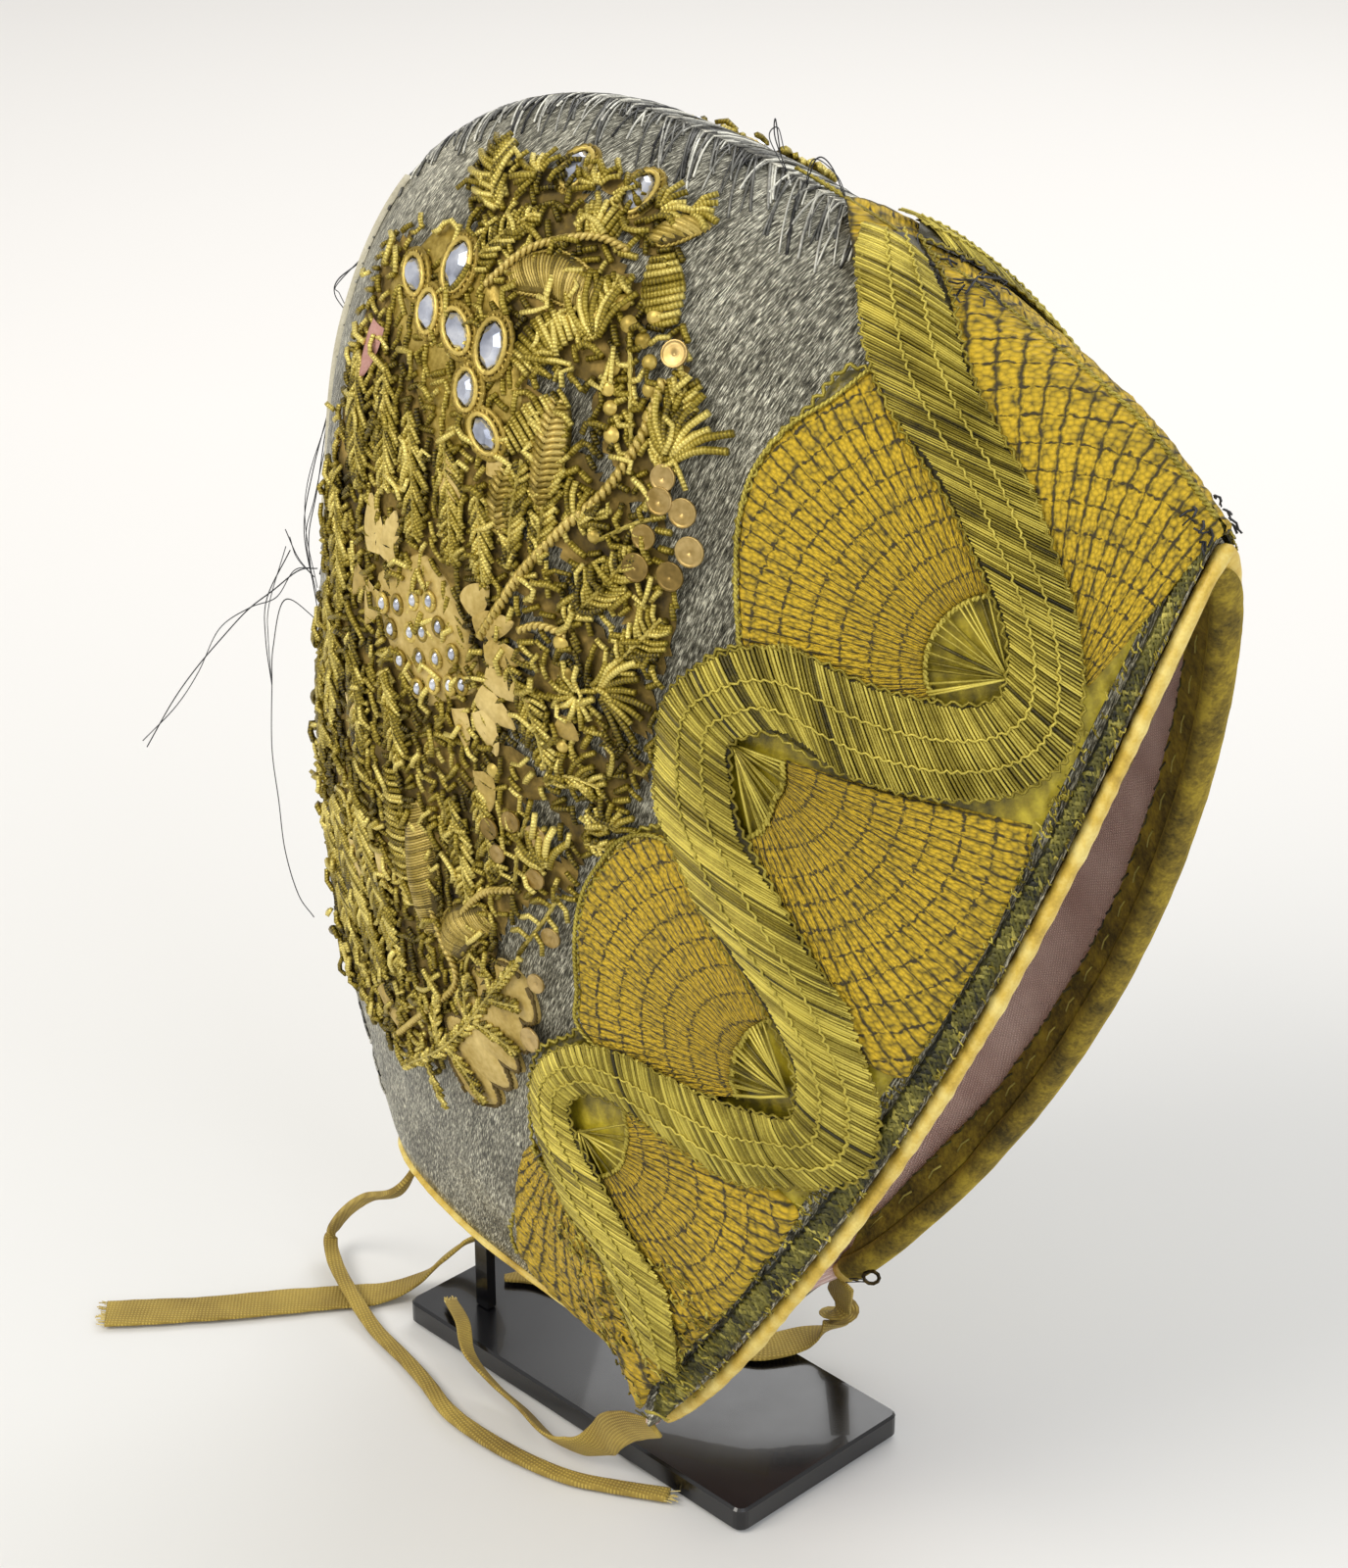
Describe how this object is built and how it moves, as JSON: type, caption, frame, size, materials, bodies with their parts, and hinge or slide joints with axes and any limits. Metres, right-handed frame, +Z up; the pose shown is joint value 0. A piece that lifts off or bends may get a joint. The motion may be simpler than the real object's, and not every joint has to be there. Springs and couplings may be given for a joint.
{
  "type": "festive coif on display stand",
  "caption": "Festive coif of silver cloth with gold thread embroidery, mirror stones, spangles and yellow lace, with tape ties, on a plain black display stand.",
  "frame": {"origin": "Middle of the underside of the stand's plate, which rests on a surface.", "axes": "+Z up, +X towards the coif's face opening, +Y towards the side away from the viewer."},
  "size_m": [0.2187, 0.0922, 0.2546],
  "materials": {
    "silver_ground": "woven silver thread, worn to a dull sheen",
    "linen": "plain linen weave, rosy brown",
    "olive_velvet": "olive velvet with a short worn pile",
    "yellow_silk": "yellow silk ribbon folded over the edge",
    "silk_panel": "old gold silk under the lace",
    "tarnished_braid": "narrow metal braid, tarnished nearly black",
    "gold_lace": "gold thread bobbin lace",
    "olive_braid": "flat gilt braid, dulled to olive",
    "gold_thread": "gilt bullion and thread over padding",
    "vellum": "tan vellum shapes under the embroidery",
    "worn_padding": "pale worn ground and padding",
    "tie_tape": "woven tape, dull gold",
    "mirror_glass": "faceted foiled glass",
    "aged_brass": "dulled wire",
    "black_gloss": "smooth black acrylic"
  },
  "bodies": {
    "root": {"silver_ground_near": "silver_ground", "silver_ground_far": "silver_ground", "linen_lining": "linen", "velvet_facing": "olive_velvet", "front_binding": "yellow_silk", "nape_binding": "yellow_silk", "edge_braid": "tarnished_braid", "silk_panel_near": "silk_panel", "lace_near": "gold_lace", "serpentine_braid_near": "olive_braid", "satin_leaf_upper_near": "gold_thread", "satin_leaf_lower_near": "gold_thread", "ribbed_leaf_short_near": "gold_thread", "ribbed_leaf_long_near": "gold_thread", "striped_bud_near": "gold_thread", "long_satin_leaf_near": "gold_thread", "flower_boss_near": "vellum", "stone_rosette_near": "gold_thread", "oak_leaf_near": "vellum", "twisted_stem_near": "gold_thread", "mirror_stone_1_near": "mirror_glass", "mirror_stone_2_near": "mirror_glass", "mirror_stone_3_near": "mirror_glass", "mirror_stone_4_near": "mirror_glass", "mirror_stone_5_near": "mirror_glass", "mirror_stone_6_near": "mirror_glass", "mirror_stone_7_near": "mirror_glass", "mirror_stone_8_near": "mirror_glass", "mirror_stone_9_near": "mirror_glass", "silk_panel_far": "silk_panel", "lace_far": "gold_lace", "serpentine_braid_far": "olive_braid", "satin_leaf_upper_far": "gold_thread", "satin_leaf_lower_far": "gold_thread", "ribbed_leaf_short_far": "gold_thread", "ribbed_leaf_long_far": "gold_thread", "striped_bud_far": "gold_thread", "long_satin_leaf_far": "gold_thread", "flower_boss_far": "vellum", "stone_rosette_far": "gold_thread", "oak_leaf_far": "vellum", "twisted_stem_far": "gold_thread", "mirror_stone_1_far": "mirror_glass", "mirror_stone_2_far": "mirror_glass", "mirror_stone_3_far": "mirror_glass", "mirror_stone_4_far": "mirror_glass", "mirror_stone_5_far": "mirror_glass", "mirror_stone_6_far": "mirror_glass", "mirror_stone_7_far": "mirror_glass", "mirror_stone_8_far": "mirror_glass", "mirror_stone_9_far": "mirror_glass", "worn_strip": "worn_padding", "ear_loop": "aged_brass", "nape_tape_folded": "tie_tape", "nape_tape_flat": "tie_tape", "ear_tape_near": "tie_tape", "ear_tape_far": "tie_tape", "stand_plate": "black_gloss", "stand_post": "black_gloss"}
  },
  "joints": []
}
